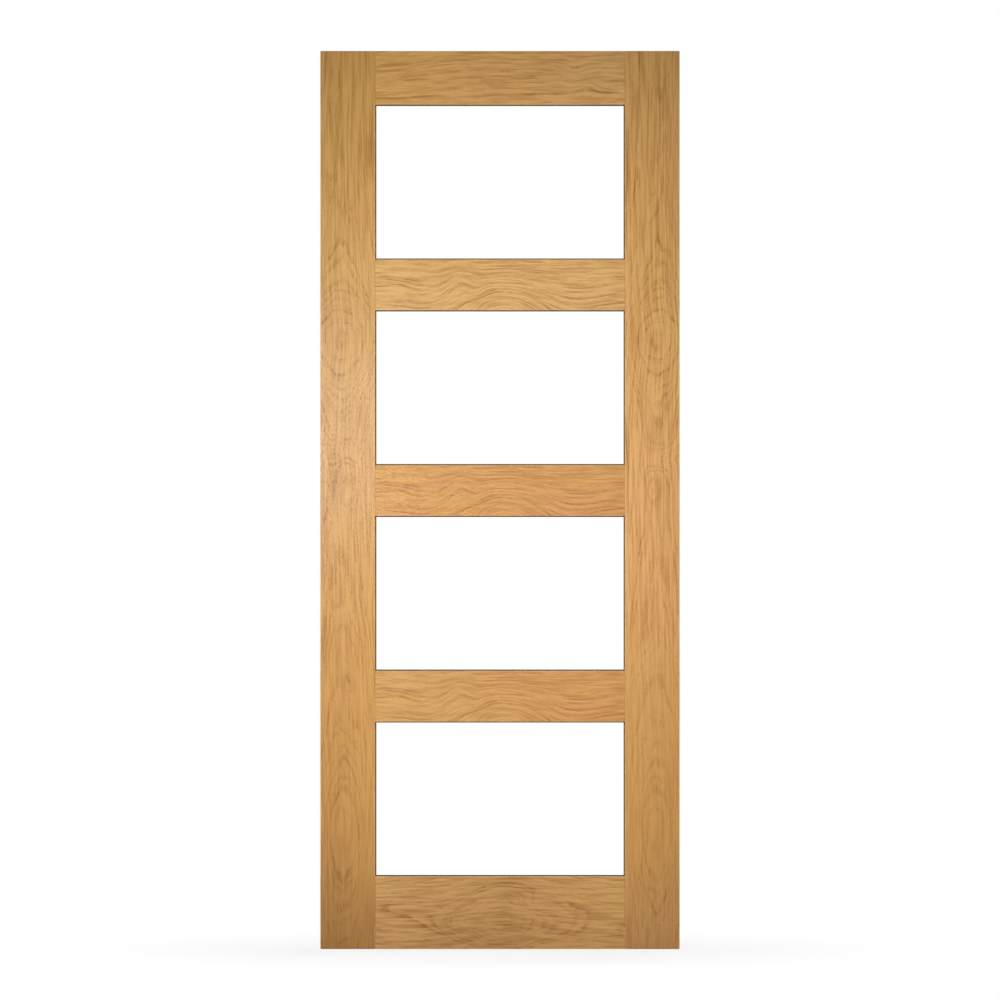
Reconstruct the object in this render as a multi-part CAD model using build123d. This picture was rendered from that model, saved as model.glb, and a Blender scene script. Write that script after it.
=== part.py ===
from build123d import *
import os

# A half-hour fire door leaf, oak faced and glazed. Two full-height stiles and five rails carry four panes,
# one above the other. Each pane is bedded on glazing tape against a stop worked on the front of the frame,
# and is held from the back by four mitred beads.
#
# Millimetres. X runs across the leaf from its hanging edge, Y from the front face to the back, Z upwards.
# The origin lies on the hanging edge, at mid-thickness, at the foot of the leaf.

# Leaf
leaf_height = 2032
leaf_width = 813
leaf_thickness = 44

# Stiles and rails, as wide as they show on the front
stile_width = 124
top_rail_height = 121
mid_rail_height = 115
bottom_rail_height = 164
pane_count = 4

# Solid lippings on the long edges, let in between the face veneers
lipping_depth = 8
veneer_thickness = 0.6
long_edge_radius = 1.5

# Glazing
glass_thickness = 7
glass_gap = 3
tape_thickness = 2
tape_width = 12
tape_proud = 2.5
rebate_width = 15
bead_setback = 1
sight_edge_radius = 1

# Planes across the thickness, from the front: face, back of the stop, glass, front of the beads, face
front_face = -leaf_thickness / 2
stop_back = -glass_thickness / 2 - tape_thickness
glass_front = -glass_thickness / 2
glass_back = glass_thickness / 2
bead_front = glass_thickness / 2 + tape_thickness
back_face = leaf_thickness / 2

full_thickness = (front_face, back_face)
full_height = (0, leaf_height)
opening_height = (
    leaf_height - top_rail_height - bottom_rail_height - (pane_count - 1) * mid_rail_height
) / pane_count
pane_numbers = range(1, pane_count + 1)


def block(x, y, z):
    """Solid that fills the given (low, high) spans of X, Y and Z."""
    spans = (x, y, z)
    centre = Vector(*[(low + high) / 2 for low, high in spans])
    return Pos(centre) * Box(*[high - low for low, high in spans])


def grown(span, amount):
    """Span moved outwards by the amount at both ends."""
    return span[0] - amount, span[1] + amount


def opening(number):
    """X and Z spans between the sight edges of an opening, counted from the top of the leaf."""
    head = leaf_height - top_rail_height - (number - 1) * (opening_height + mid_rail_height)
    return (stile_width, leaf_width - stile_width), (head - opening_height, head)


def mirrored(solid):
    """The same piece at the other side of the leaf."""
    return mirror(solid, about=Plane.YZ.offset(leaf_width / 2))


def leaf_frame():
    """Stiles and rails in one, with their openings, glazing rebates and eased edges, before it is parted."""
    frame = block((0, leaf_width), full_thickness, full_height)
    frame = fillet(frame.edges().filter_by(Axis.Z), long_edge_radius)
    for number in pane_numbers:
        x, z = opening(number)
        frame -= block(x, full_thickness, z)
    front = frame.faces().sort_by(Axis.Y)[0]
    sight_edges = [edge for wire in front.inner_wires() for edge in wire.edges()]
    frame = fillet(sight_edges, sight_edge_radius)
    for number in pane_numbers:
        x, z = opening(number)
        frame -= block(grown(x, rebate_width), (stop_back, back_face), grown(z, rebate_width))
    return frame


def stile_space():
    """What the left stile takes of the frame. Its rebate runs the full length at the back, so that the rails
    meet it with a short shoulder in front, at the sight edge, and with a long one behind."""
    front = block((0, stile_width), (front_face, stop_back), full_height)
    behind = block((0, stile_width - rebate_width), (stop_back, back_face), full_height)
    return front + behind


def lipping_space():
    """What the left lipping takes of the frame: a strip along the edge, between the face veneers."""
    return block((0, lipping_depth), grown(full_thickness, -veneer_thickness), full_height)


def frame_members():
    """The frame parted into two lippings, two stiles and the rails, which are counted downwards."""
    frame = leaf_frame()
    lippings = lipping_space(), mirrored(lipping_space())
    stiles = stile_space() - lippings[0], mirrored(stile_space()) - lippings[1]
    rails = frame - stile_space() - mirrored(stile_space())
    mid_names = [f"mid_rail_{number}" for number in pane_numbers[:-1]]
    rail_names = ["top_rail", *mid_names, "bottom_rail"]
    return {
        "left_stile": frame & stiles[0],
        "right_stile": frame & stiles[1],
        "left_edge_lipping": frame & lippings[0],
        "right_edge_lipping": frame & lippings[1],
        **dict(zip(rail_names, rails.solids().sort_by(Axis.Z, reverse=True))),
    }


def glass_pane(number):
    """Sheet of fire glass, short of the rebate by a gap all round."""
    x, z = opening(number)
    cover = rebate_width - glass_gap
    return block(grown(x, cover), (glass_front, glass_back), grown(z, cover))


def glazing_tape(number, y):
    """Flat bed of tape on one face of a pane, which stands a little way out past the sight edges."""
    x, z = opening(number)
    outside = tape_width - tape_proud
    inside = -tape_proud
    return block(grown(x, outside), y, grown(z, outside)) - block(grown(x, inside), y, grown(z, inside))


def bead(start, end, inward):
    """Bead along one side of an opening, on the back. Start and end are the sight corners as (x, z), and
    inward is the direction from the rebate to the glass. Both ends are mitred."""
    start, end, inward = Vector(*start), Vector(*end), Vector(*inward)
    along = (end - start).normalized()
    outline = [
        start,
        end,
        end + (along - inward) * rebate_width,
        start - (along + inward) * rebate_width,
    ]
    face = make_face(Polyline(*[(p.X, bead_front, p.Y) for p in outline], close=True))
    solid = extrude(face, amount=back_face - bead_setback - bead_front, dir=(0, 1, 0))
    sight_middle = (start + end) / 2
    sight_edge = solid.edges().sort_by_distance((sight_middle.X, back_face, sight_middle.Y))[0]
    return fillet(sight_edge, sight_edge_radius)


def beads(number):
    """The four beads of a pane, by the side of the opening that they line."""
    (left, right), (foot, head) = opening(number)
    return {
        "top": bead((left, head), (right, head), (0, -1)),
        "bottom": bead((left, foot), (right, foot), (0, 1)),
        "left": bead((left, foot), (left, head), (1, 0)),
        "right": bead((right, foot), (right, head), (-1, 0)),
    }


parts = frame_members()
for number in pane_numbers:
    parts[f"glass_pane_{number}"] = glass_pane(number)
    parts[f"front_glazing_tape_{number}"] = glazing_tape(number, (stop_back, glass_front))
    parts[f"back_glazing_tape_{number}"] = glazing_tape(number, (glass_back, bead_front))
    for side, solid in beads(number).items():
        parts[f"pane_{number}_{side}_bead"] = solid

os.makedirs("parts", exist_ok=True)
for name, solid in parts.items():
    export_step(solid, f"parts/{name}.step")
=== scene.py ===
import math

import bmesh
import bpy
import numpy as np
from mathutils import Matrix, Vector


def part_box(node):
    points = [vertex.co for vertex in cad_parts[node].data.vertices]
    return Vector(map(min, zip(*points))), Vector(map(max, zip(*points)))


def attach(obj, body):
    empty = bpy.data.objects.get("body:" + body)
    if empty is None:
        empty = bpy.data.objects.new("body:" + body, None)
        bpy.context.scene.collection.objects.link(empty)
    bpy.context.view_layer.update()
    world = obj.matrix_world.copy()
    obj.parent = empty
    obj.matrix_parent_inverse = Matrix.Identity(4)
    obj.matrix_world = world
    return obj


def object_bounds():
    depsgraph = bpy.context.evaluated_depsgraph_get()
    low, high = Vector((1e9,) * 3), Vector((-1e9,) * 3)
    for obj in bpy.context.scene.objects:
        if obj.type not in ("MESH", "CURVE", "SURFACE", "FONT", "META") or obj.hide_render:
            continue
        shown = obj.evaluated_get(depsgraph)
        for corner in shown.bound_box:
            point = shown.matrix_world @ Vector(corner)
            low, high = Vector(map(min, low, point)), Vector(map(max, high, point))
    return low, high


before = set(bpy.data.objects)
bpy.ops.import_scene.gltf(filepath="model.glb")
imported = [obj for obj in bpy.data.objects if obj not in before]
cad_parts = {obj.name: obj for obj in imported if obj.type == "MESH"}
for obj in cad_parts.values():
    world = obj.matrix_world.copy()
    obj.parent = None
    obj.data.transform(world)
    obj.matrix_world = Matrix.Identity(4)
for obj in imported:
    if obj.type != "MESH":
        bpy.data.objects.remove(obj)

cad_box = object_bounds()


# Stiles: the two full-height uprights. Each is a laminated core faced front and back with crown-cut oak
# veneer, glued to its edge lipping, dowelled to the rails and finished in clear matt lacquer.
leaf_low, leaf_high = (Vector(corner) for corner in cad_box)
leaf_middle = (leaf_low.x + leaf_high.x) / 2
leaf_height = leaf_high.z - leaf_low.z
half_thickness = leaf_high.y
pane_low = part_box("mid_rail_3")[1][2]
pane_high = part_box("mid_rail_2")[0][2]
pane_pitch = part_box("mid_rail_2")[1][2] - pane_low
veneer_thickness = 0.0006
glue_line = 0.0002
core_strip_width = 0.0315
veneer_pale = (0.77, 0.45, 0.166)
veneer_dark = (0.455, 0.215, 0.055)
lacquer_specular = 0.08
sawn_roughness = 0.6
grain_relief = 0.0003
grain_up = (math.pi / 2, 0, math.pi / 2)
stile_ring_width = 0.0044
stile_bend = 0.25
stile_strokes = 8


def wire(tree, socket, term):
    """Gives a socket its term: a link from another socket, a number, or a colour or vector."""
    if isinstance(term, bpy.types.NodeSocket):
        tree.links.new(term, socket)
    elif isinstance(term, tuple) and socket.type == "RGBA":
        socket.default_value = (*term, 1.0)
    else:
        socket.default_value = term


def operate(tree, kind, operation, terms):
    """One node of a kind that works an operation on its terms. Gives its outputs."""
    node = tree.nodes.new(kind)
    node.operation = operation
    for socket, term in zip(node.inputs, terms):
        wire(tree, socket, term)
    return node.outputs


def calc(tree, operation, *terms):
    """Number that a Math node works out from its terms."""
    return operate(tree, "ShaderNodeMath", operation, terms)["Value"]


def calc_vector(tree, operation, *terms, result="Vector"):
    """Vector, or number where result is Value, that a Vector Math node works out from its terms."""
    return operate(tree, "ShaderNodeVectorMath", operation, terms)[result]


def axes(tree, place):
    """X, Y and Z of a place."""
    node = tree.nodes.new("ShaderNodeSeparateXYZ")
    wire(tree, node.inputs["Vector"], place)
    return node.outputs


def noise(tree, place, waves, detail=2):
    """Noise from 0 to 1, about 0.5, with its own number of waves per metre along each axis of a place."""
    node = tree.nodes.new("ShaderNodeTexNoise")
    node.inputs["Scale"].default_value = 1.0
    node.inputs["Detail"].default_value = detail
    wire(tree, node.inputs["Vector"], calc_vector(tree, "MULTIPLY", place, waves))
    return node.outputs["Fac"]


def chance(tree, number):
    """Random value from 0 to 1, always the same for the same number."""
    node = tree.nodes.new("ShaderNodeTexWhiteNoise")
    node.noise_dimensions = "1D"
    wire(tree, node.inputs["W"], number)
    return node.outputs["Value"]


def swing(tree, value, width):
    """A value from 0 to 1 as one from minus half a width to plus half of it."""
    return calc(tree, "MULTIPLY_ADD", value, width, -width / 2)


def inside(tree, value, middle, half):
    """How far a value lies inside the ends of a span: half the span, less the distance from its middle."""
    return calc(tree, "SUBTRACT", half, calc(tree, "ABSOLUTE", calc(tree, "SUBTRACT", value, middle)))


def ramp(tree, value, low, high, start=0.0, end=1.0):
    """Smooth step from start, where a value is at most low, to end, where it is at least high."""
    node = tree.nodes.new("ShaderNodeMapRange")
    node.interpolation_type = "SMOOTHSTEP"
    terms = {"Value": value, "From Min": low, "From Max": high, "To Min": start, "To Max": end}
    for label, term in terms.items():
        wire(tree, node.inputs[label], term)
    return node.outputs["Result"]


def tint(tree, mode, share, first, second):
    """Mix of two colours by a share, as MIX or MULTIPLY. The node's colour sockets have places 6 and 7, after
    those for numbers and vectors, and its mixed colour is output 2."""
    node = tree.nodes.new("ShaderNodeMix")
    node.data_type = "RGBA"
    node.blend_type = mode
    for number, term in ((0, share), (6, first), (7, second)):
        wire(tree, node.inputs[number], term)
    return node.outputs[2]


def drawn_curve(tree, value, points, low=0.0, high=1.0):
    """Smooth curve of a value from 0 to 1 through (value, result) points, with results from low to high."""
    node = tree.nodes.new("ShaderNodeFloatCurve")
    marks = node.mapping.curves[0].points
    for _ in points[2:]:
        marks.new(0.5, 0.5)
    for mark, (place, result) in zip(marks, points):
        mark.location = (place, (result - low) / (high - low))
    node.mapping.update()
    wire(tree, node.inputs["Value"], value)
    return calc(tree, "MULTIPLY_ADD", node.outputs["Value"], high - low, low)


def drawn_cast(tree, value, stops):
    """Colour that passes smoothly through (value, red, green, blue) stops, to multiply another by."""
    node = tree.nodes.new("ShaderNodeValToRGB")
    node.color_ramp.interpolation = "EASE"
    marks = node.color_ramp.elements
    for place, *cast in stops[1:-1]:
        marks.new(place).color = (*cast, 1.0)
    for mark, (place, *cast) in ((marks[0], stops[0]), (marks[-1], stops[-1])):
        mark.position = place
        mark.color = (*cast, 1.0)
    wire(tree, node.inputs["Fac"], value)
    return node.outputs["Color"]


def effect(name, inputs, outputs):
    """Empty node group with named sockets. Gives its tree, its input sockets and its output sockets."""
    tree = bpy.data.node_groups.new(name, "ShaderNodeTree")
    for label, kind in inputs.items():
        tree.interface.new_socket(label, in_out="INPUT", socket_type="NodeSocket" + kind)
    for label, kind in outputs.items():
        tree.interface.new_socket(label, in_out="OUTPUT", socket_type="NodeSocket" + kind)
    return tree, tree.nodes.new("NodeGroupInput").outputs, tree.nodes.new("NodeGroupOutput").inputs


def place_effect(tree, group, **terms):
    """Places a node group in a material, with terms for its inputs. Gives its outputs."""
    node = tree.nodes.new("ShaderNodeGroup")
    node.node_tree = group
    for label, term in terms.items():
        wire(tree, node.inputs[label.replace("_", " ")], term)
    return node.outputs


def growth_swelling():
    """A bulge in the rings: its height times e to the minus square of the distance from its place, counted
    in its sizes along and across the board."""
    tree, given, out = effect(
        "growth_swelling",
        {"Board": "Vector", "Place": "Vector", "Size": "Vector", "Bulge": "Float"},
        {"Radius": "Float"},
    )
    apart = calc_vector(tree, "SUBTRACT", given["Board"], given["Place"])
    apart = calc_vector(tree, "DIVIDE", apart, given["Size"])
    square = calc_vector(tree, "DOT_PRODUCT", apart, apart, result="Value")
    fall = calc(tree, "EXPONENT", calc(tree, "MULTIPLY", square, -1.0))
    wire(tree, out["Radius"], calc(tree, "MULTIPLY", fall, given["Bulge"]))
    return tree


def heart_distance(tree, given, parts):
    """Distance from the heart of the log, which runs Heart Depth below the place where Z is 0 and Heart
    Offset to one side, plus Swelling. The heart wanders slowly sideways, and a ripple runs over the rings."""
    wander = swing(tree, noise(tree, given["Board"], (2, 7, 7), detail=1), 0.026)
    across = calc(tree, "ADD", calc(tree, "SUBTRACT", parts["Y"], given["Heart Offset"]), wander)
    deep = calc(tree, "ADD", parts["Z"], given["Heart Depth"])
    square = calc(tree, "MULTIPLY_ADD", across, across, calc(tree, "MULTIPLY", deep, deep))
    distance = calc(tree, "ADD", calc(tree, "SQRT", square), given["Swelling"])
    ripple = swing(tree, noise(tree, given["Board"], (11, 55, 55)), 0.007)
    return calc(tree, "ADD", distance, ripple)


def pore_strokes(tree, given, parts, distance):
    """Strokes of pores, Strokes to the metre. Their place across the board moves from Y, where they run
    straight, towards the distance from the heart, where they follow the rings, by the share Bend."""
    bow = calc(tree, "SUBTRACT", distance, parts["Y"])
    bent = tree.nodes.new("ShaderNodeCombineXYZ")
    wire(tree, bent.inputs["X"], calc(tree, "MULTIPLY", parts["X"], given["Strokes"]))
    wire(tree, bent.inputs["Y"], calc(tree, "MULTIPLY_ADD", bow, given["Bend"], parts["Y"]))
    wire(tree, bent.inputs["Z"], parts["Z"])
    return ramp(tree, noise(tree, bent.outputs["Vector"], (1, 260, 260)), 0.33, 0.67)


def year_rings(tree, given, distance):
    """Years at a distance from the heart: the distance and a fine jag, over Ring Width, with wide and narrow
    years. Gives how far the year has gone, and a chance value of its own for each year."""
    jag = swing(tree, noise(tree, given["Board"], (40, 190, 190)), 0.0024)
    years = calc(tree, "DIVIDE", calc(tree, "ADD", distance, jag), given["Ring Width"])
    weather = tree.nodes.new("ShaderNodeTexNoise")
    weather.noise_dimensions = "1D"
    weather.inputs["Scale"].default_value = 0.45
    wire(tree, weather.inputs["W"], years)
    years = calc(tree, "MULTIPLY_ADD", weather.outputs["Fac"], 2.4, years)
    return calc(tree, "FRACT", years), chance(tree, calc(tree, "FLOOR", years))


def oak_from_the_log():
    """Oak as it is cut from a log, at a Board place along, across and through the board. Each year opens
    with a dark band of pores, stronger in some years, in patches and along the strokes, and fades into pale
    summer wood. Streaks, fibres and clouds darken it further, Clearness widens or narrows the range between
    pale and dark, and pores and rays lie on top."""
    cool_cast, warm_cast = (0.99, 1.0, 0.97), (1.0, 0.97, 1.0)
    pore_shade, ray_shade = (0.42, 0.3, 0.2), (0.75, 0.66, 0.55)
    palest, usual = -0.585, 0.27
    tree, given, out = effect(
        "oak_from_the_log",
        {
            "Board": "Vector", "Heart Depth": "Float", "Heart Offset": "Float", "Swelling": "Float",
            "Ring Width": "Float", "Bend": "Float", "Strokes": "Float", "Clearness": "Float",
            "Pale Oak": "Color", "Dark Oak": "Color",
        },
        {"Colour": "Color", "Roughness": "Float", "Height": "Float"},
    )
    board = given["Board"]
    parts = axes(tree, board)
    distance = heart_distance(tree, given, parts)
    strokes = pore_strokes(tree, given, parts, distance)
    season, year = year_rings(tree, given, distance)
    band = [(0, 0.9), (0.1, 1), (0.34, 0.36), (0.68, 0.08), (0.9, 0.12), (1, 0.9)]
    spring = drawn_curve(tree, season, band)
    patches = ramp(tree, noise(tree, board, (8, 42, 42)), 0.36, 0.6, 0.2, 1.0)
    strength = calc(tree, "MULTIPLY", calc(tree, "MULTIPLY_ADD", year, 0.75, 0.25), patches)
    strength = calc(tree, "MULTIPLY", strength, calc(tree, "MULTIPLY_ADD", strokes, 0.9, 0.55))
    line = calc(tree, "MULTIPLY", spring, strength)

    fibre = noise(tree, board, (22, 1300, 1300))
    streak = noise(tree, board, (5, 130, 130), detail=3)
    cloud = noise(tree, board, (3, 14, 14))
    # The marks add up from below zero, so that the wood is dark only where several of them meet.
    dark = palest
    for mark, share in ((line, 0.48), (streak, 0.5), (strokes, 0.46), (fibre, 0.3), (cloud, 0.32)):
        dark = calc(tree, "MULTIPLY_ADD", mark, share, dark)
    dark = calc(tree, "MULTIPLY_ADD", calc(tree, "SUBTRACT", dark, usual), given["Clearness"], usual)
    colour = tint(tree, "MIX", calc(tree, "MAXIMUM", dark, 0.0), given["Pale Oak"], given["Dark Oak"])
    warmth = ramp(tree, noise(tree, board, (5, 30, 30), detail=1), 0.35, 0.65)
    colour = tint(tree, "MULTIPLY", 1.0, colour, tint(tree, "MIX", warmth, cool_cast, warm_cast))

    pores = ramp(tree, noise(tree, board, (95, 2300, 2300), detail=1), 0.56, 0.7)
    pores = calc(tree, "MULTIPLY", pores, calc(tree, "MULTIPLY_ADD", spring, 0.85, 0.15))
    colour = tint(tree, "MULTIPLY", calc(tree, "MULTIPLY", pores, 0.6), colour, pore_shade)
    rays = ramp(tree, noise(tree, board, (42, 1000, 30), detail=1), 0.62, 0.74)
    colour = tint(tree, "MULTIPLY", calc(tree, "MULTIPLY", rays, 0.35), colour, ray_shade)
    wire(tree, out["Colour"], colour)
    lacquer = calc(tree, "MULTIPLY_ADD", streak, 0.08, 0.25)
    wire(tree, out["Roughness"], calc(tree, "MULTIPLY_ADD", pores, 0.22, lacquer))
    height = calc(tree, "MULTIPLY_ADD", fibre, 0.2, calc(tree, "MULTIPLY", pores, -1.0))
    wire(tree, out["Height"], calc(tree, "MULTIPLY_ADD", line, -0.25, height))
    return tree


def heart_side():
    """A board is a little darker towards the heart of the log. Side runs from -1 at that edge to 1 at the
    other, where the colour is as given."""
    tree, given, out = effect("heart_side", {"Colour": "Color", "Side": "Float"}, {"Colour": "Color"})
    shade = ramp(tree, given["Side"], -1.0, 1.0, 0.93, 1.0)
    wire(tree, out["Colour"], tint(tree, "MULTIPLY", 1.0, given["Colour"], shade))
    return tree


def worn_highlit_edge():
    """Wear along an edge, and a painted highlight: within about two millimetres of it, and unevenly along it,
    the lacquer is smoother from wear and the wood under it is painted paler, partly as wear and partly as a
    highlight along the arris."""
    rubbed_highlight_oak = (0.85, 0.56, 0.24)
    tree, given, out = effect(
        "worn_highlit_edge",
        {"Colour": "Color", "Roughness": "Float", "Board": "Vector", "Distance": "Float"},
        {"Colour": "Color", "Roughness": "Float"},
    )
    reach = calc(tree, "MULTIPLY_ADD", noise(tree, given["Board"], (30, 200, 200)), 0.003, 0.0007)
    # Share of paler wood along the edge: partly wear, partly a painted highlight.
    wear_and_highlight = ramp(tree, given["Distance"], 0.0, reach, 0.5, 0.0)
    wire(tree, out["Colour"], tint(tree, "MIX", wear_and_highlight, given["Colour"], rubbed_highlight_oak))
    wire(tree, out["Roughness"], calc(tree, "MULTIPLY_ADD", wear_and_highlight, -0.14, given["Roughness"]))
    return tree


def sealed_shaded_ends():
    """Top and foot of the leaf, at a Distance from the end: the faces are darker within about the last two
    millimetres, partly as a stain where the end seal has gone into the sawn wood and partly as painted shade
    along the ends. Sawn is 1 on the end and 0 elsewhere."""
    sealer_stain_and_shade = (0.52, 0.44, 0.4)
    tree, given, out = effect(
        "sealed_shaded_ends", {"Colour": "Color", "Distance": "Float"}, {"Colour": "Color", "Sawn": "Float"}
    )
    # Darker rim near the ends: partly a stain of the end seal, partly painted shade.
    stain_and_shade = ramp(tree, given["Distance"], 0.0008, 0.003, 0.42, 0.0)
    wire(tree, out["Colour"], tint(tree, "MULTIPLY", stain_and_shade, given["Colour"], sealer_stain_and_shade))
    wire(tree, out["Sawn"], ramp(tree, given["Distance"], 0.0002, 0.0004, 1.0, 0.0))
    return tree


def core_ends():
    """End of a laminated core: strips of one width across the leaf, each with the arcs of its own rings, and
    with a dark glue line between strips and under the veneers."""
    core_pale, core_dark = (0.55, 0.34, 0.14), (0.33, 0.18, 0.065)
    glue = (0.4, 0.3, 0.22)
    strips_per_metre, rings_per_strip = 30.0, 9.0
    veneer_back = half_thickness - veneer_thickness
    tree, given, out = effect("core_ends", {"Across": "Float", "Through": "Float"}, {"Colour": "Color"})
    strip = calc(tree, "DIVIDE", given["Across"], core_strip_width)
    side = calc(tree, "SUBTRACT", calc(tree, "FRACT", strip), 0.5)
    log = chance(tree, calc(tree, "FLOOR", strip))
    wide = calc(tree, "ADD", side, swing(tree, log, 1.6))
    heart = calc(tree, "MULTIPLY_ADD", log, 2.0, 0.8)
    deep = calc(tree, "MULTIPLY_ADD", given["Through"], strips_per_metre, heart)
    arc = calc(tree, "SQRT", calc(tree, "MULTIPLY_ADD", wide, wide, calc(tree, "MULTIPLY", deep, deep)))
    ring = calc(tree, "POWER", calc(tree, "FRACT", calc(tree, "MULTIPLY", arc, rings_per_strip)), 2.0)
    shade = calc(tree, "MULTIPLY_ADD", log, 0.4, calc(tree, "MULTIPLY", ring, 0.5))
    between = ramp(tree, calc(tree, "ABSOLUTE", side), 0.485, 0.495)
    under = ramp(tree, calc(tree, "ABSOLUTE", given["Through"]), veneer_back - glue_line, veneer_back)
    glued = calc(tree, "MULTIPLY", calc(tree, "MAXIMUM", between, under), 0.55)
    wood = tint(tree, "MIX", shade, core_pale, core_dark)
    wire(tree, out["Colour"], tint(tree, "MULTIPLY", glued, wood, glue))
    return tree


swelling_effect = growth_swelling()
oak_effect = oak_from_the_log()
heart_side_effect = heart_side()
edge_effect = worn_highlit_edge()
sealed_shade_effect = sealed_shaded_ends()
core_effect = core_ends()


def new_material(name, specular=0.5):
    """Material with nodes. Gives it with its tree, its shader and the place on the piece."""
    material = bpy.data.materials.new(name)
    material.use_nodes = True
    tree = material.node_tree
    shader = tree.nodes["Principled BSDF"]
    shader.inputs["Specular IOR Level"].default_value = specular
    return material, tree, shader, tree.nodes.new("ShaderNodeTexCoord").outputs["Object"]


def finish_surface(tree, shader, colour, roughness, height, relief):
    """Colour, roughness and a bump of a set relief for a shader."""
    bump = tree.nodes.new("ShaderNodeBump")
    bump.inputs["Strength"].default_value = 0.5
    bump.inputs["Distance"].default_value = relief
    wire(tree, bump.inputs["Height"], height)
    wire(tree, shader.inputs["Base Color"], colour)
    wire(tree, shader.inputs["Roughness"], roughness)
    wire(tree, shader.inputs["Normal"], bump.outputs["Normal"])


def laid_along(tree, place, turn, start):
    """A place turned so that X runs along the board, Y across it and Z through it, from a start. Gives it
    whole and by its axes."""
    node = tree.nodes.new("ShaderNodeMapping")
    node.inputs["Rotation"].default_value = turn
    node.inputs["Location"].default_value = start
    wire(tree, node.inputs["Vector"], place)
    return node.outputs["Vector"], axes(tree, node.outputs["Vector"])


def veneered_oak(
    tree, board, share, heart, offset, swellings, clearness, cast, ring_width, bend, strokes, log_place
):
    """Crown-cut veneer. heart and offset, of the log, clearness, of its figure, and cast, of its colour, are
    drawn along the board by the share of its length. On the stiles the cast holds painted light as well as
    the board's own tone. Each of swellings is (along, across, size along, size across, bulge), and log_place
    is where the board lay in the log. Gives the colour, and the oak with its other outputs."""
    swelling = 0.0
    for along, across, size_along, size_across, bulge in swellings:
        more = place_effect(
            tree, swelling_effect, Board=board, Place=(along, across, 0), Size=(size_along, size_across, 1),
            Bulge=bulge,
        )["Radius"]
        swelling = calc(tree, "ADD", more, swelling)
    oak = place_effect(
        tree, oak_effect, Board=calc_vector(tree, "ADD", board, (log_place, 0, 0)),
        Heart_Depth=drawn_curve(tree, share, heart, 0.0, 0.15),
        Heart_Offset=drawn_curve(tree, share, offset, -0.12, 0.12),
        Clearness=drawn_curve(tree, share, clearness, 0.0, 1.5),
        Swelling=swelling, Ring_Width=ring_width, Bend=bend, Strokes=strokes,
        Pale_Oak=veneer_pale, Dark_Oak=veneer_dark,
    )
    return tint(tree, "MULTIPLY", 1.0, oak["Colour"], drawn_cast(tree, share, cast)), oak


def lacquered(tree, shader, colour, oak, board, to_edge, sawn):
    """Finish of a veneered board: wear and a painted highlight near its edges, and rough where it is sawn."""
    edge_wear_and_highlight = place_effect(
        tree, edge_effect, Colour=colour, Roughness=oak["Roughness"], Board=board, Distance=to_edge
    )
    roughness = calc(tree, "MAXIMUM", edge_wear_and_highlight["Roughness"], calc(tree, "MULTIPLY", sawn, sawn_roughness))
    finish_surface(tree, shader, edge_wear_and_highlight["Colour"], roughness, oak["Height"], grain_relief)


def stile_oak(name, inner_side, **figure):
    """Oak of a stile, with the figure that veneered_oak draws. inner_side is the way to the panes, 1 or -1,
    and the heart of the log lies to the other side. Edges show wear and a painted highlight beside the panes,
    not beside the rails."""
    # Added to the distance beside the rails, so that the wear and painted highlight stay off those edges.
    beside_rail_clearance = 0.01
    low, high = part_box(name)
    half_width = (high[0] - low[0]) / 2
    material, tree, shader, place = new_material(name + "_oak", lacquer_specular)
    board, parts = laid_along(tree, place, grain_up, (0, -(low[0] + high[0]) / 2, half_thickness))
    colour, oak = veneered_oak(tree, board, calc(tree, "DIVIDE", parts["X"], leaf_height), **figure)
    side = calc(tree, "MULTIPLY", parts["Y"], inner_side / half_width)
    colour = place_effect(tree, heart_side_effect, Colour=colour, Side=side)["Colour"]
    to_end = inside(tree, parts["X"], leaf_height / 2, leaf_height / 2)
    # The ends' darker rim is partly a stain of the end seal and partly painted shade.
    sealed = place_effect(tree, sealed_shade_effect, Colour=colour, Distance=to_end)
    through = calc(tree, "SUBTRACT", parts["Z"], half_thickness)
    core = place_effect(tree, core_effect, Across=parts["Y"], Through=through)["Colour"]
    colour = tint(tree, "MIX", sealed["Sawn"], sealed["Colour"], core)
    height = calc(tree, "WRAP", parts["X"], pane_low + pane_pitch, pane_low)
    beside_rail = calc(tree, "GREATER_THAN", height, pane_high)
    to_edge = calc(tree, "MULTIPLY_ADD", beside_rail, beside_rail_clearance, inside(tree, parts["Y"], 0.0, half_width))
    lacquered(tree, shader, colour, oak, board, to_edge, sealed["Sawn"])
    return material


def dress(name, material):
    """Gives a CAD piece its finished material."""
    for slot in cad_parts[name].material_slots:
        slot.material = material


stile_heart = [
    (0, 0.072), (0.1, 0.05), (0.135, 0.045), (0.17, 0.052), (0.24, 0.068), (0.33, 0.084), (0.43, 0.095),
    (0.54, 0.1), (0.6, 0.094), (0.65, 0.075), (0.68, 0.064), (0.7, 0.072), (0.725, 0.088), (0.77, 0.102),
    (0.86, 0.112), (1, 0.112),
]
dress("left_stile", stile_oak(
    "left_stile", inner_side=1,
    heart=stile_heart,
    offset=[(0, -0.016), (0.3, -0.008), (0.55, -0.018), (0.7, -0.014), (1, -0.03)],
    swellings=[
        (1.125, -0.035, 0.024, 0.045, 0.013), (1.06, 0.012, 0.035, 0.02, -0.009),
        (0.52, 0.01, 0.05, 0.02, 0.007),
    ],
    clearness=[(0, 0.6), (0.2, 0.65), (0.44, 1.0), (0.6, 0.75), (0.8, 1.0), (1, 1.2)],
    # The cast is partly the board's own tone and partly painted light: the pale, less yellow band about 0.58
    # is a painted sheen of the lacquer, and the darker foot is painted shade.
    cast=[
        (0, 0.69, 0.62, 0.55), (0.18, 0.87, 0.8, 0.66), (0.42, 0.89, 0.8, 0.58), (0.58, 0.94, 0.91, 0.84),
        (0.8, 0.86, 0.83, 0.65),
    ],
    ring_width=stile_ring_width, bend=stile_bend, strokes=stile_strokes, log_place=0.0,
))
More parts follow.
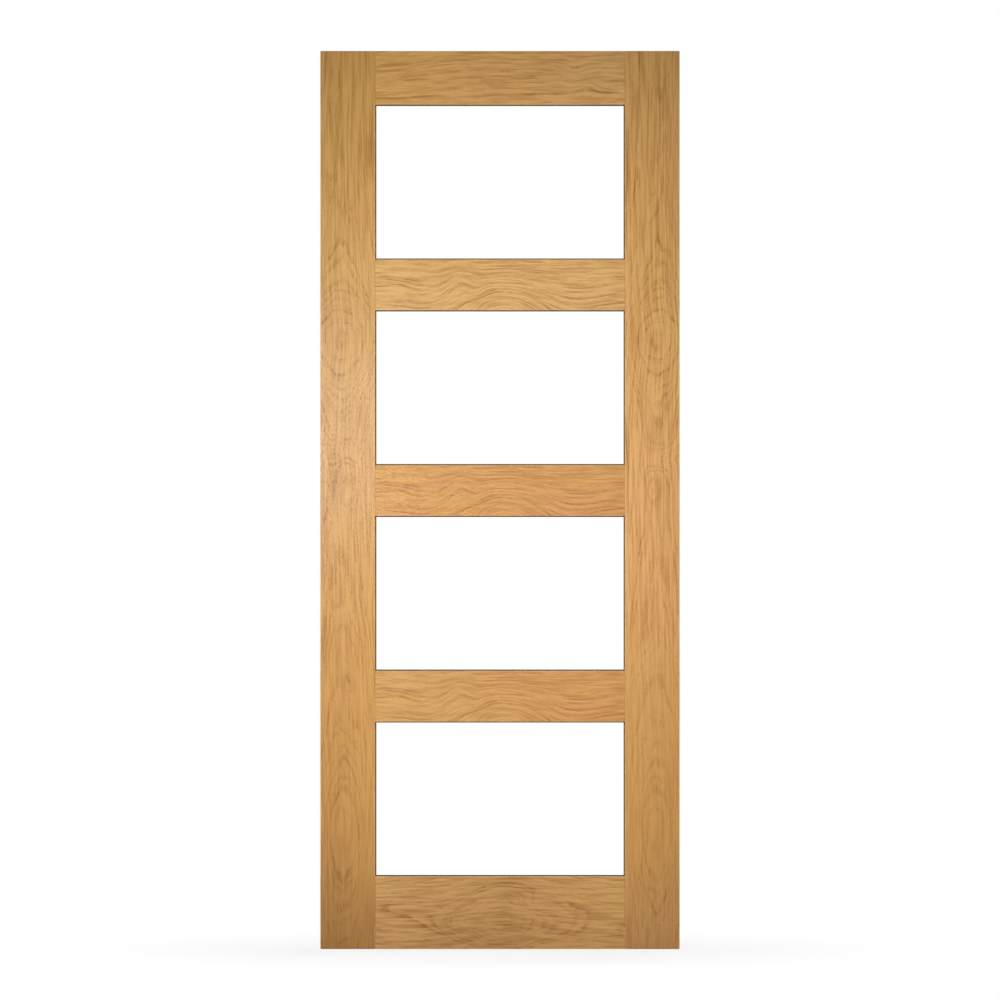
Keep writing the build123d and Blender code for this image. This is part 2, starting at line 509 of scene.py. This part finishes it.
dress("right_stile", stile_oak(
    "right_stile", inner_side=-1,
    heart=stile_heart,
    offset=[(0, 0.012), (0.3, 0.008), (0.55, 0.018), (0.7, 0.016), (1, 0.034)],
    swellings=[
        (1.11, 0.04, 0.024, 0.045, 0.013), (1.04, 0.0, 0.04, 0.02, -0.009),
        (0.7, -0.01, 0.05, 0.02, 0.006),
    ],
    clearness=[(0, 0.65), (0.2, 0.5), (0.4, 0.85), (0.57, 1.2), (0.8, 1.15), (1, 1.25)],
    # The cast is partly the board's own tone and partly painted light: the pale, less yellow middle about
    # 0.46 is a painted sheen of the lacquer.
    cast=[
        (0, 0.8, 0.74, 0.73), (0.15, 0.88, 0.82, 0.7), (0.46, 0.99, 0.91, 0.92), (0.72, 0.9, 0.88, 0.78),
        (1, 0.86, 0.81, 0.72),
    ],
    ring_width=stile_ring_width, bend=stile_bend, strokes=stile_strokes, log_place=7.3,
))


# Edge lippings: strips of solid oak, straight in the grain, glued to the long edges of the stiles between
# the veneers so that the edges can be planed to fit a frame. They are sealed and left matt.
lipping_pale, lipping_dark = (0.69, 0.385, 0.126), (0.42, 0.198, 0.048)
sealed_extra_roughness = 0.42


def straight_oak(tree, place, turn, log_place, pale, dark):
    """Solid oak with its grain straight along a strip and the heart of the log far to one side, sealed and
    more matt than the lacquered faces. Gives its colour, roughness and height."""
    oak = place_effect(
        tree, oak_effect, Board=laid_along(tree, place, turn, (log_place, 0, 0))[0], Heart_Depth=0.09,
        Heart_Offset=-0.11, Ring_Width=0.003, Strokes=12, Clearness=1.0, Pale_Oak=pale, Dark_Oak=dark,
    )
    return oak["Colour"], calc(tree, "ADD", oak["Roughness"], sealed_extra_roughness), oak["Height"]


lipping_oak, tree, shader, place = new_material("lipping_oak", lacquer_specular)
colour, roughness, height = straight_oak(tree, place, grain_up, 0.0, lipping_pale, lipping_dark)
finish_surface(tree, shader, colour, roughness, height, grain_relief)
dress("left_edge_lipping", lipping_oak)
dress("right_edge_lipping", lipping_oak)


# Rails: the five cross members, veneered like the stiles but with the grain running across the leaf,
# glued and dowelled between the stiles with a fine dark line at each shoulder.
grain_across = (-math.pi / 2, 0, 0)
rail_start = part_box("mid_rail_1")[0][0]
rail_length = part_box("mid_rail_1")[1][0] - rail_start
rebate_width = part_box("left_stile")[1][0] - rail_start
rebate_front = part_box("front_glazing_tape_1")[0][1]
shoulder_line_width = 0.0011
shoulder_line_shade = 0.45


def joint_line():
    """Hairline of shade along a joint: up to Shade at the joint, fading out within Width of it."""
    joint_dark = (0.3, 0.2, 0.13)
    tree, given, out = effect(
        "joint_line",
        {"Colour": "Color", "Distance": "Float", "Width": "Float", "Shade": "Float"},
        {"Colour": "Color"},
    )
    shade = ramp(tree, given["Distance"], 0.0003, given["Width"], given["Shade"], 0.0)
    wire(tree, out["Colour"], tint(tree, "MULTIPLY", shade, given["Colour"], joint_dark))
    return tree


joint_effect = joint_line()


def rail_oak(name, **figure):
    """Oak of a rail, with the figure that veneered_oak draws. Its shoulders lie at the sight edges in front,
    and a rebate's width further out behind the stop."""
    low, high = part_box(name)
    rail_middle = (low[2] + high[2]) / 2
    material, tree, shader, place = new_material(name + "_oak", lacquer_specular)
    board, parts = laid_along(tree, place, grain_across, (-rail_start, -rail_middle, half_thickness))
    colour, oak = veneered_oak(tree, board, calc(tree, "DIVIDE", parts["X"], rail_length), **figure)
    behind_stop = calc(tree, "LESS_THAN", parts["Z"], half_thickness - rebate_front)
    half_face = calc(tree, "MULTIPLY_ADD", behind_stop, rebate_width, rail_length / 2 - rebate_width)
    colour = place_effect(
        tree, joint_effect, Colour=colour, Distance=inside(tree, parts["X"], rail_length / 2, half_face),
        Width=shoulder_line_width, Shade=shoulder_line_shade,
    )["Colour"]
    to_end = inside(tree, parts["Y"], leaf_height / 2 - rail_middle, leaf_height / 2)
    # The ends' darker rim is partly a stain of the end seal and partly painted shade.
    sealed = place_effect(tree, sealed_shade_effect, Colour=colour, Distance=to_end)
    # Edges of the rail, where wear and a painted highlight pale the wood.
    to_edge = inside(tree, parts["Y"], 0.0, (high[2] - low[2]) / 2)
    lacquered(tree, shader, sealed["Colour"], oak, board, to_edge, sealed["Sawn"])
    return material


dress("top_rail", rail_oak(
    "top_rail",
    heart=[(0, 0.04), (1, 0.035)],
    offset=[(0, -0.1), (0.5, -0.095), (1, -0.1)],
    swellings=[
        (0.0, 0.03, 0.16, 0.05, 0.026), (0.465, 0.012, 0.035, 0.02, 0.015),
        (0.5, -0.012, 0.03, 0.018, -0.013), (0.43, -0.008, 0.03, 0.014, -0.008),
    ],
    clearness=[(0, 1.0), (1, 1.0)],
    cast=[(0, 0.96, 0.93, 0.8), (0.5, 0.91, 0.87, 0.8), (1, 0.92, 0.93, 0.95)],
    ring_width=0.0056, bend=0.8, strokes=17, log_place=11.0,
))
for name, clear, cast in (
    ("mid_rail_1", 1.1, [(0, 0.93, 0.95, 0.86), (1, 0.94, 0.96, 0.98)]),
    ("mid_rail_2", 0.9, [(0, 0.9, 0.78, 0.54), (1, 0.88, 0.78, 0.73)]),
    ("mid_rail_3", 0.9, [(0, 0.89, 0.85, 0.76), (1, 0.87, 0.77, 0.72)]),
):
    dress(name, rail_oak(
        name,
        heart=[(0, 0.03), (1, 0.034)],
        offset=[(0, -0.1), (1, -0.096)],
        swellings=[
            (0.304, -0.055, 0.095, 0.065, -0.06), (0.206, 0.015, 0.03, 0.03, -0.016),
            (0.246, -0.015, 0.02, 0.03, 0.01), (0.13, -0.02, 0.055, 0.04, 0.013),
            (0.46, -0.03, 0.06, 0.03, 0.008),
        ],
        clearness=[(0, clear), (1, clear)],
        cast=cast,
        ring_width=0.0058, bend=0.85, strokes=19, log_place=13.0,
    ))
dress("bottom_rail", rail_oak(
    "bottom_rail",
    heart=[(0, 0.086), (0.2, 0.08), (0.38, 0.064), (0.52, 0.05), (0.66, 0.064), (0.85, 0.08), (1, 0.086)],
    offset=[(0, -0.02), (0.5, -0.012), (1, -0.02)],
    swellings=[
        (0.06, 0.02, 0.09, 0.03, -0.01), (0.22, -0.02, 0.04, 0.02, -0.01),
        (0.37, 0.02, 0.03, 0.02, 0.009),
    ],
    clearness=[(0, 1.15), (1, 1.15)],
    cast=[(0, 0.87, 0.86, 0.9), (0.5, 0.77, 0.73, 0.74), (1, 0.87, 0.86, 0.84)],
    ring_width=0.0052, bend=0.35, strokes=14, log_place=17.0,
))


# Fire glass: four clear sheets of float glass, each lying in the rebate between two beds of tape. It is
# nearly colourless, with a faint roller wave and a little dust on its faces, and it lets the lamps through.
glass_tint = (0.996, 1.0, 0.998)
glass_shadow_tint = (0.92, 0.94, 0.93)
clear_glass, tree, shader, place = new_material("clear_glass")
wire(tree, shader.inputs["Base Color"], glass_tint)
shader.inputs["Transmission Weight"].default_value = 1.0
shader.inputs["IOR"].default_value = 1.52
dust = ramp(tree, noise(tree, place, (14, 14, 14), detail=4), 0.5, 0.8, 0.0, 0.03)
wire(tree, shader.inputs["Roughness"], dust)
roller_wave = tree.nodes.new("ShaderNodeBump")
roller_wave.inputs["Strength"].default_value = 0.05
roller_wave.inputs["Distance"].default_value = 0.0005
wire(tree, roller_wave.inputs["Height"], noise(tree, place, (3, 3, 9), detail=1))
wire(tree, shader.inputs["Normal"], roller_wave.outputs["Normal"])
let_through = tree.nodes.new("ShaderNodeBsdfTransparent")
wire(tree, let_through.inputs["Color"], glass_shadow_tint)
pane = tree.nodes.new("ShaderNodeMixShader")
wire(tree, pane.inputs["Fac"], tree.nodes.new("ShaderNodeLightPath").outputs["Is Shadow Ray"])
wire(tree, pane.inputs[1], shader.outputs["BSDF"])
wire(tree, pane.inputs[2], let_through.outputs["BSDF"])
wire(tree, tree.nodes["Material Output"].inputs["Surface"], pane.outputs["Shader"])
pane_numbers = range(1, 5)
for number in pane_numbers:
    dress(f"glass_pane_{number}", clear_glass)


# Glazing tape: dark closed-cell tape that swells in a fire, one bed on each face of each sheet, pressed
# between the glass and the wood so that a thin line of it shows round the pane.
tape_dark, tape_brown = (0.07, 0.04, 0.012), (0.13, 0.078, 0.026)
cell_shade = (0.4, 0.4, 0.4)
cell_relief = 0.0003
tape_foam, tree, shader, place = new_material("tape_foam", specular=0.3)
cells = noise(tree, place, (1500, 1500, 1500))
colour = tint(tree, "MIX", noise(tree, place, (25, 25, 25)), tape_dark, tape_brown)
colour = tint(tree, "MULTIPLY", calc(tree, "MULTIPLY", cells, 0.5), colour, cell_shade)
finish_surface(tree, shader, colour, ramp(tree, cells, 0.3, 0.7, 0.7, 0.95), cells, cell_relief)
for number in pane_numbers:
    dress(f"front_glazing_tape_{number}", tape_foam)
    dress(f"back_glazing_tape_{number}", tape_foam)


# Glazing beads: solid oak strips, mitred at the corners with a hairline of shade at each mitre, that hold
# each sheet from the back. Their grain runs along them, upright at the sides and level at top and bottom.
bead_pale, bead_dark = (0.715, 0.4, 0.13), (0.44, 0.21, 0.05)
mitre_line_width = 0.0012
mitre_line_shade = 0.7
opening_half_width = leaf_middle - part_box("left_stile")[1][0]
opening_half_height = (pane_high - pane_low) / 2
pane_middle = (pane_low + pane_high) / 2


def mitre_distance():
    """Distance from the mitres at the corners of the panes: how much further inside the sight edges a place
    lies sideways than upwards, or the other way round. Heights are counted from the nearest pane's middle."""
    tree, given, out = effect("mitre_distance", {"Place": "Vector"}, {"Distance": "Float"})
    parts = axes(tree, given["Place"])
    sideways = inside(tree, parts["X"], leaf_middle, opening_half_width)
    from_pane = calc(tree, "SUBTRACT", parts["Z"], pane_middle)
    from_pane = calc(tree, "WRAP", from_pane, pane_pitch / 2, -pane_pitch / 2)
    upwards = inside(tree, from_pane, 0.0, opening_half_height)
    wire(tree, out["Distance"], calc(tree, "ABSOLUTE", calc(tree, "SUBTRACT", sideways, upwards)))
    return tree


mitre_effect = mitre_distance()


def bead_oak(name, turn, log_place):
    """Solid oak of the beads that lie one way, with a line at their mitres."""
    material, tree, shader, place = new_material(name, lacquer_specular)
    colour, roughness, height = straight_oak(tree, place, turn, log_place, bead_pale, bead_dark)
    colour = place_effect(
        tree, joint_effect, Colour=colour, Distance=place_effect(tree, mitre_effect, Place=place)["Distance"],
        Width=mitre_line_width, Shade=mitre_line_shade,
    )["Colour"]
    finish_surface(tree, shader, colour, roughness, height, grain_relief)
    return material


upright_bead_oak = bead_oak("upright_bead_oak", grain_up, 3.0)
level_bead_oak = bead_oak("level_bead_oak", grain_across, 6.0)
for number in pane_numbers:
    dress(f"pane_{number}_top_bead", level_bead_oak)
    dress(f"pane_{number}_bottom_bead", level_bead_oak)
    dress(f"pane_{number}_left_bead", upright_bead_oak)
    dress(f"pane_{number}_right_bead", upright_bead_oak)


# Bead pins: thin steel pins driven through the beads at close centres, punched just under the surface and
# stopped with brown wax, so that only a small low spot of wax shows over each.
pin_spot_radius = 0.0013
pin_spot_rise = 0.00015
pin_from_corner = 0.05
pin_spacing = 0.15
pin_spot_sides = 12
wax_brown, wax_pale = (0.3, 0.14, 0.035), (0.46, 0.24, 0.07)
grit_shade = (0.5, 0.42, 0.35)
grit_relief = 0.0001


def grid_mesh(name, points):
    """Piece on patches of rows by columns of points, with a four-sided face between each set of neighbours.
    Points that fall together are merged, which closes seams and poles, and faces are turned outwards."""
    patches, rows, columns = points.shape[:3]
    index = np.arange(patches * rows * columns).reshape(patches, rows, columns)
    faces = np.stack([index[:, :-1, :-1], index[:, :-1, 1:], index[:, 1:, 1:], index[:, 1:, :-1]], axis=-1)
    mesh = bpy.data.meshes.new(name)
    mesh.from_pydata(points.reshape(-1, 3).tolist(), [], faces.reshape(-1, 4).tolist())
    work = bmesh.new()
    work.from_mesh(mesh)
    bmesh.ops.remove_doubles(work, verts=work.verts, dist=1e-6)
    bmesh.ops.recalc_face_normals(work, faces=work.faces)
    work.to_mesh(mesh)
    work.free()
    piece = bpy.data.objects.new(name, mesh)
    bpy.context.scene.collection.objects.link(piece)
    return piece


def pin_places(number):
    """Middles of the pin spots of one pane: even steps of at most the spacing along the middle line of each
    bead, from one corner distance to the other, on the back of the bead."""
    places = []
    for side in ("top", "bottom", "left", "right"):
        low, high = (np.array(corner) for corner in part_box(f"pane_{number}_{side}_bead"))
        along = 0 if side in ("top", "bottom") else 2
        run = high[along] - low[along] - 2 * pin_from_corner
        line = np.tile((low + high) / 2, (math.ceil(run / pin_spacing) + 1, 1))
        line[:, along] = np.linspace(low[along] + pin_from_corner, high[along] - pin_from_corner, len(line))
        line[:, 1] = high[1]
        places.append(line)
    return np.concatenate(places)


def pin_spots(middles):
    """Closed spots on a set of middles: a low dome turned about the way the bead faces, from its crown out to
    its rim, then down into the bead and back to the middle underneath."""
    out = pin_spot_radius * np.array([0, 0.35, 0.65, 0.88, 1, 1, 0])[:, None]
    rise = pin_spot_rise * np.array([1, 0.93, 0.72, 0.4, 0, -1.5, -1.5])[:, None]
    angle = np.linspace(0, 2 * np.pi, pin_spot_sides + 1)
    spot = np.stack(np.broadcast_arrays(out * np.cos(angle), rise, out * np.sin(angle)), axis=-1)
    return middles[:, None, None, :] + spot


pin_wax, tree, shader, place = new_material("pin_wax", specular=0.4)
grit = noise(tree, place, (2500, 2500, 2500))
colour = tint(tree, "MIX", noise(tree, place, (60, 60, 60), detail=1), wax_brown, wax_pale)
colour = tint(tree, "MULTIPLY", calc(tree, "MULTIPLY", grit, 0.4), colour, grit_shade)
finish_surface(tree, shader, colour, ramp(tree, grit, 0.3, 0.7, 0.4, 0.6), grit, grit_relief)
for number in pane_numbers:
    pins = grid_mesh(f"bead_pins_{number}", pin_spots(pin_places(number)))
    pins.data.materials.append(pin_wax)
    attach(pins, "root")


# Floor: a plain pale studio floor under the foot of the leaf. Where it is seen directly or through glass it
# shows as white, and close to the leaf it keeps a part of its shade.
floor_reach = 9.0
floor_lines = 19
floor_drop = 0.0005
shade_near, shade_far = 0.3, 1.0
white_near = 0.82
floor_line = np.linspace(-floor_reach, floor_reach, floor_lines)
floor_x, floor_y = np.meshgrid(leaf_middle + floor_line, floor_line)
floor_points = np.stack([floor_x, floor_y, np.full_like(floor_x, leaf_low.z - floor_drop)], axis=-1)
floor = grid_mesh("floor", floor_points[None])


def seen_white(tree):
    """1 on rays from the camera, from a mirror image or through glass, and 0 on rays that light things."""
    rays = tree.nodes.new("ShaderNodeLightPath").outputs
    mirrored = calc(tree, "MAXIMUM", rays["Is Glossy Ray"], rays["Is Transmission Ray"])
    return calc(tree, "MAXIMUM", rays["Is Camera Ray"], mirrored)


floor_paint, tree, shader, place = new_material("floor_paint", specular=0.0)
floor_tone = ramp(tree, noise(tree, place, (3, 3, 3), detail=3), 0.3, 0.7, 0.78, 0.82)
wire(tree, shader.inputs["Base Color"], floor_tone)
shader.inputs["Roughness"].default_value = 0.9
away = calc_vector(tree, "DISTANCE", place, (leaf_middle, 0, leaf_low.z), result="Value")
whitened = calc(tree, "MULTIPLY", seen_white(tree), ramp(tree, away, shade_near, shade_far, white_near, 1.0))
white = tree.nodes.new("ShaderNodeEmission")
lit = tree.nodes.new("ShaderNodeMixShader")
wire(tree, lit.inputs["Fac"], whitened)
wire(tree, lit.inputs[1], shader.outputs["BSDF"])
wire(tree, lit.inputs[2], white.outputs["Emission"])
wire(tree, tree.nodes["Material Output"].inputs["Surface"], lit.outputs["Shader"])
floor.data.materials.append(floor_paint)


# Studio: a white surround that lights softly from all sides, and one spot lamp in front, a little to the
# left at half height, whose beam is brightest on the middle of the leaf. Weaker soft lamps stand behind and
# at both sides.
surround_light = 0.3
front_lamp_place, front_lamp_aim = (leaf_middle - 0.53, -3.5, 1.15), (leaf_middle - 0.05, 0, 1.03)
soft_lamp_size = 1.5
soft_lamp_aim = (leaf_middle, 0, 1.0)
studio = bpy.data.worlds.new("studio")
bpy.context.scene.world = studio
studio.use_nodes = True
tree = studio.node_tree
surround = tree.nodes["Background"]
wire(tree, surround.inputs["Color"], (1.0, 1.0, 1.0))
wire(tree, surround.inputs["Strength"], ramp(tree, seen_white(tree), 0.0, 1.0, surround_light, 1.0))


def put(data, location, target):
    """Places a lamp or camera and turns it to look at a target."""
    thing = bpy.data.objects.new(data.name, data)
    thing.location = location
    thing.rotation_euler = (Vector(location) - Vector(target)).to_track_quat("Z", "Y").to_euler()
    bpy.context.scene.collection.objects.link(thing)
    return thing


def soft_lamp(name, power, location):
    """Square lamp turned to the middle of the leaf, unseen by the camera and through glass."""
    lamp = bpy.data.lights.new(name, "AREA")
    lamp.energy = power
    lamp.size = soft_lamp_size
    stand = put(lamp, location, soft_lamp_aim)
    stand.visible_camera = False
    stand.visible_transmission = False


front_lamp = bpy.data.lights.new("front_lamp", "SPOT")
front_lamp.energy = 355
front_lamp.spot_size = math.radians(50)
front_lamp.spot_blend = 1.0
front_lamp.shadow_soft_size = 0.15
put(front_lamp, front_lamp_place, front_lamp_aim)
soft_lamp("back_lamp", 70, (leaf_middle + 1.35, 3.0, 1.9))
soft_lamp("left_lamp", 24, (leaf_middle - 3.2, 0.3, 1.2))
soft_lamp("right_lamp", 24, (leaf_middle + 3.2, 0.3, 1.2))


# Camera: square on to the front face, where the picture is photo_width across, level with the middle of the
# leaf, and far enough away that the panes show hardly any of their reveals.
camera_distance = 20.0
photo_width = 2.26278
camera_lens = bpy.data.cameras.new("camera")
camera_lens.sensor_width = 36.0
camera_lens.lens = camera_lens.sensor_width * (camera_distance - half_thickness) / photo_width
view_height = leaf_low.z + leaf_height / 2
camera = put(camera_lens, (leaf_middle, -camera_distance, view_height), (leaf_middle, 0, view_height))
bpy.context.scene.camera = camera
bpy.context.scene.view_settings.view_transform = "Standard"
